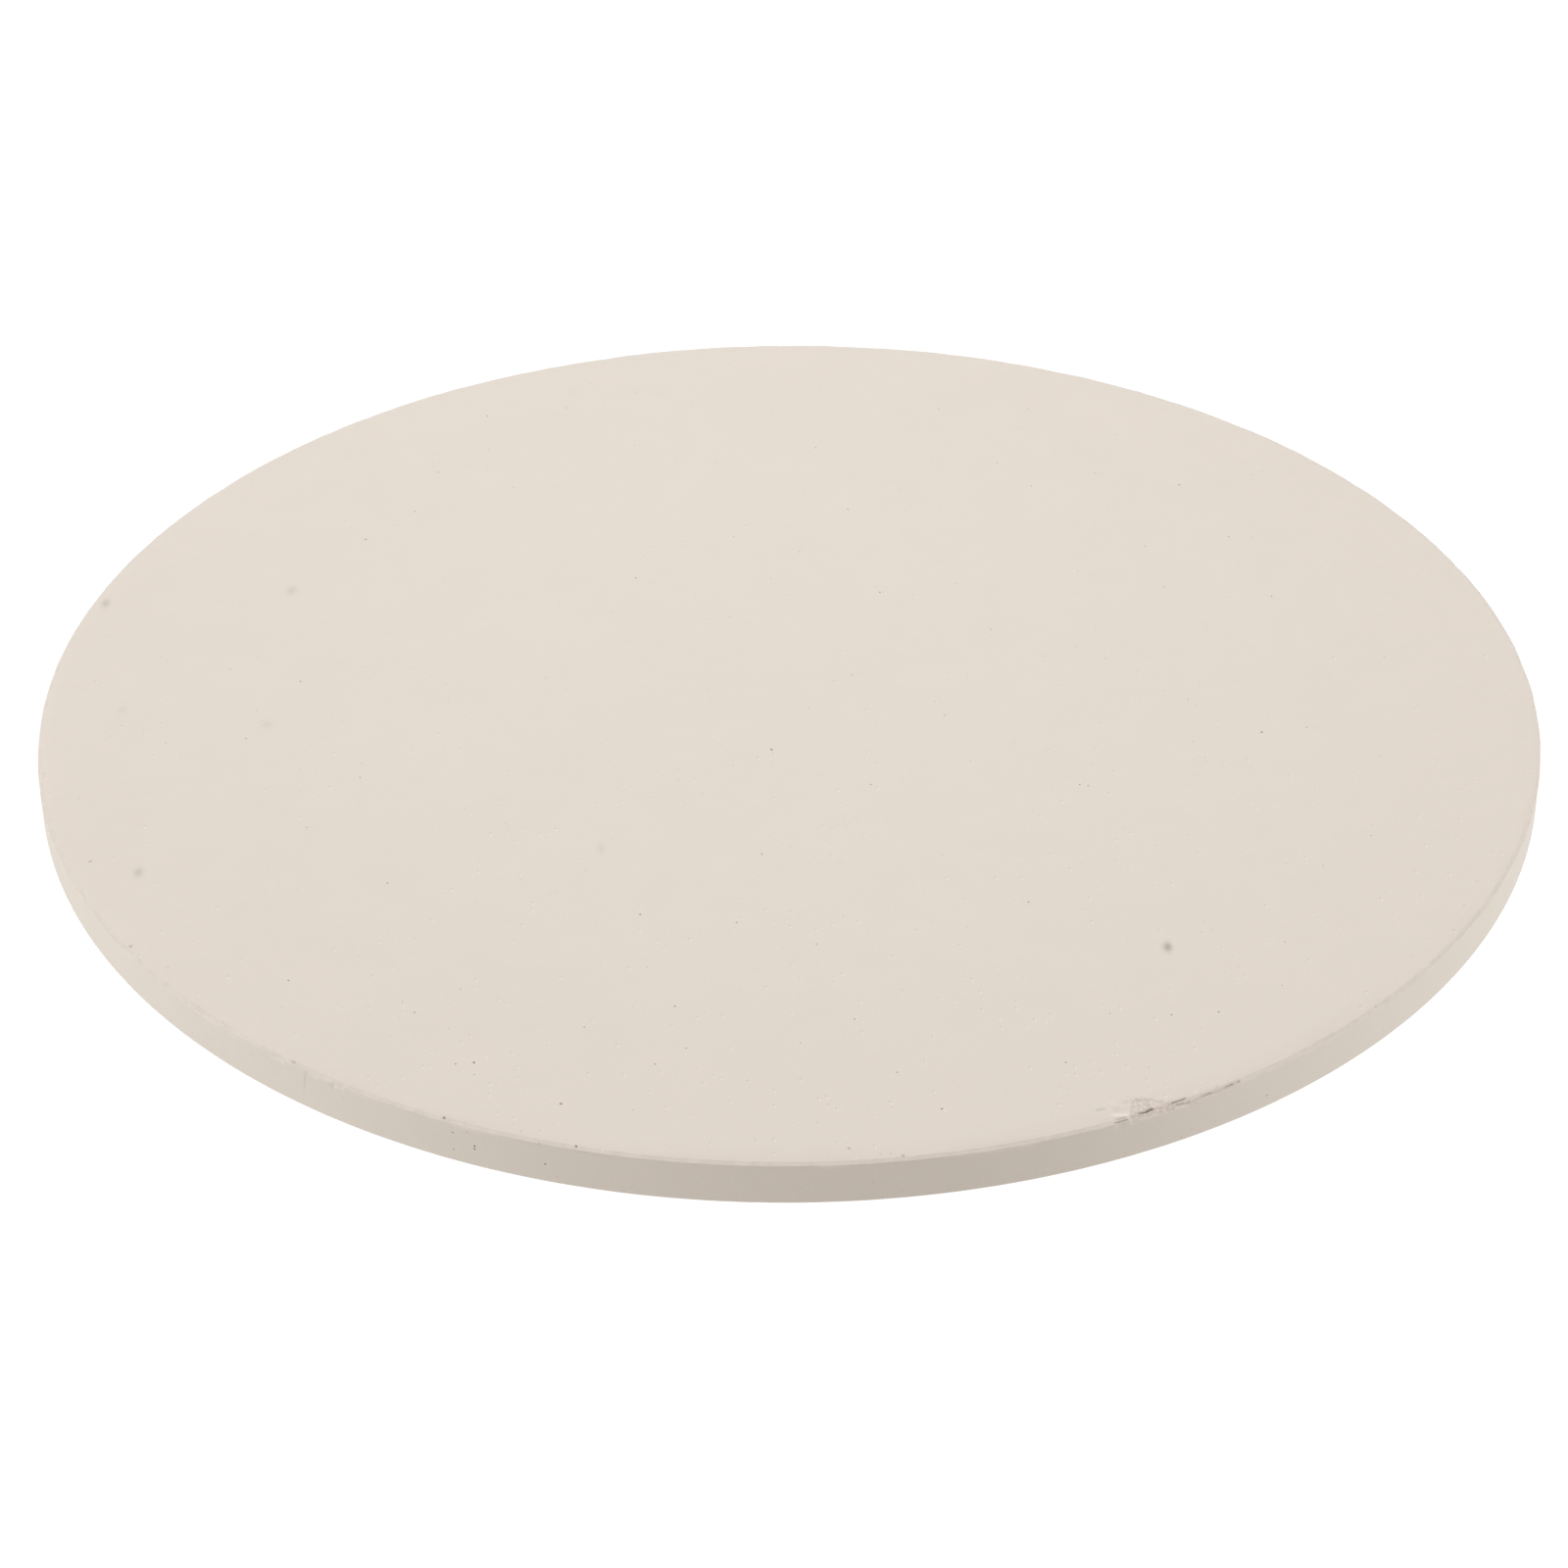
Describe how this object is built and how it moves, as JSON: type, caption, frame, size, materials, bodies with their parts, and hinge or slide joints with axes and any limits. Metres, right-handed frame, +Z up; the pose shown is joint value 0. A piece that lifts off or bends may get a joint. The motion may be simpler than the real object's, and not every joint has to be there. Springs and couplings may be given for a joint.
{
  "type": "pizza stone",
  "caption": "Round flat fired-ceramic baking slab with a plain low wall, a lightly broken top corner, a flat baking face and a flat resting face.",
  "frame": {"origin": "centre of the flat resting face, at its lowest plane", "axes": "+Z up, square to the baking face; the slab is the same all round, so +X and +Y are free, and -Y is the side that faces the camera in the picture"},
  "size_m": [0.33, 0.33, 0.01],
  "materials": {
    "fired_clay": "matte"
  },
  "bodies": {
    "root": {"baking_stone": "fired_clay"}
  },
  "joints": []
}
